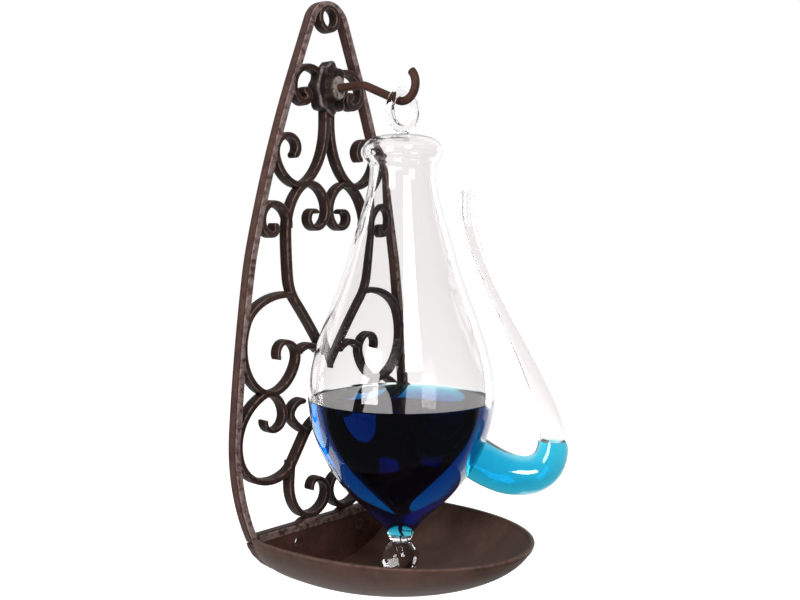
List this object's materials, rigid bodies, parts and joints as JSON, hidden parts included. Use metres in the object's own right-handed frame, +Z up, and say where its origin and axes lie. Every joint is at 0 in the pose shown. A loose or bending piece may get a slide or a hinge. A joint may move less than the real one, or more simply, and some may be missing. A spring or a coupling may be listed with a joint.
{
  "type": "weather glass",
  "caption": "Blown-glass weather glass with a spout, half full of blue water, hanging from a hook on a cast scrollwork wall bracket with a drip dish.",
  "frame": {"origin": "on the wall plane, midway between the two wall screw holes of the back plate", "axes": "+Z up along the arch, +Y into the wall, +X to the bracket's right as seen from behind the viewer facing it; the glass hangs out towards -Y"},
  "size_m": [0.1264, 0.128, 0.298],
  "materials": {
    "iron": "sand-cast, rust brown, fine grain, bright worn edges",
    "glass": "clear blown glass, smooth",
    "water": "clear blue water"
  },
  "bodies": {
    "bracket": {"rail_left": "iron", "rail_right": "iron", "crest_ring": "iron", "rosette": "iron", "hook": "iron", "top_curl_left": "iron", "top_curl_right": "iron", "lyre_scroll_left": "iron", "lyre_scroll_right": "iron", "stem_scroll_left": "iron", "stem_scroll_right": "iron", "side_curl_left": "iron", "side_curl_right": "iron", "great_scroll_left": "iron", "great_scroll_right": "iron", "link_bar_left": "iron", "link_bar_right": "iron", "lower_scroll_left": "iron", "lower_scroll_right": "iron", "sprout_left": "iron", "sprout_right": "iron", "foot_scroll_left": "iron", "foot_scroll_right": "iron", "cross_bar": "iron", "back_plate": "iron", "drip_dish": "iron"},
    "glass": {"flask": "glass", "hanging_loop": "glass", "spout": "glass", "spout_mouth": "glass", "finial_ball": "glass", "flask_water": "water", "spout_water": "water"}
  },
  "joints": [
    {"name": "glass_swing", "type": "hinge", "parent": "bracket", "child": "glass", "pos_m": [0, -0.056, 0.2251], "axis": [0, 1, 0], "range_deg": [-5, 5]}
  ]
}
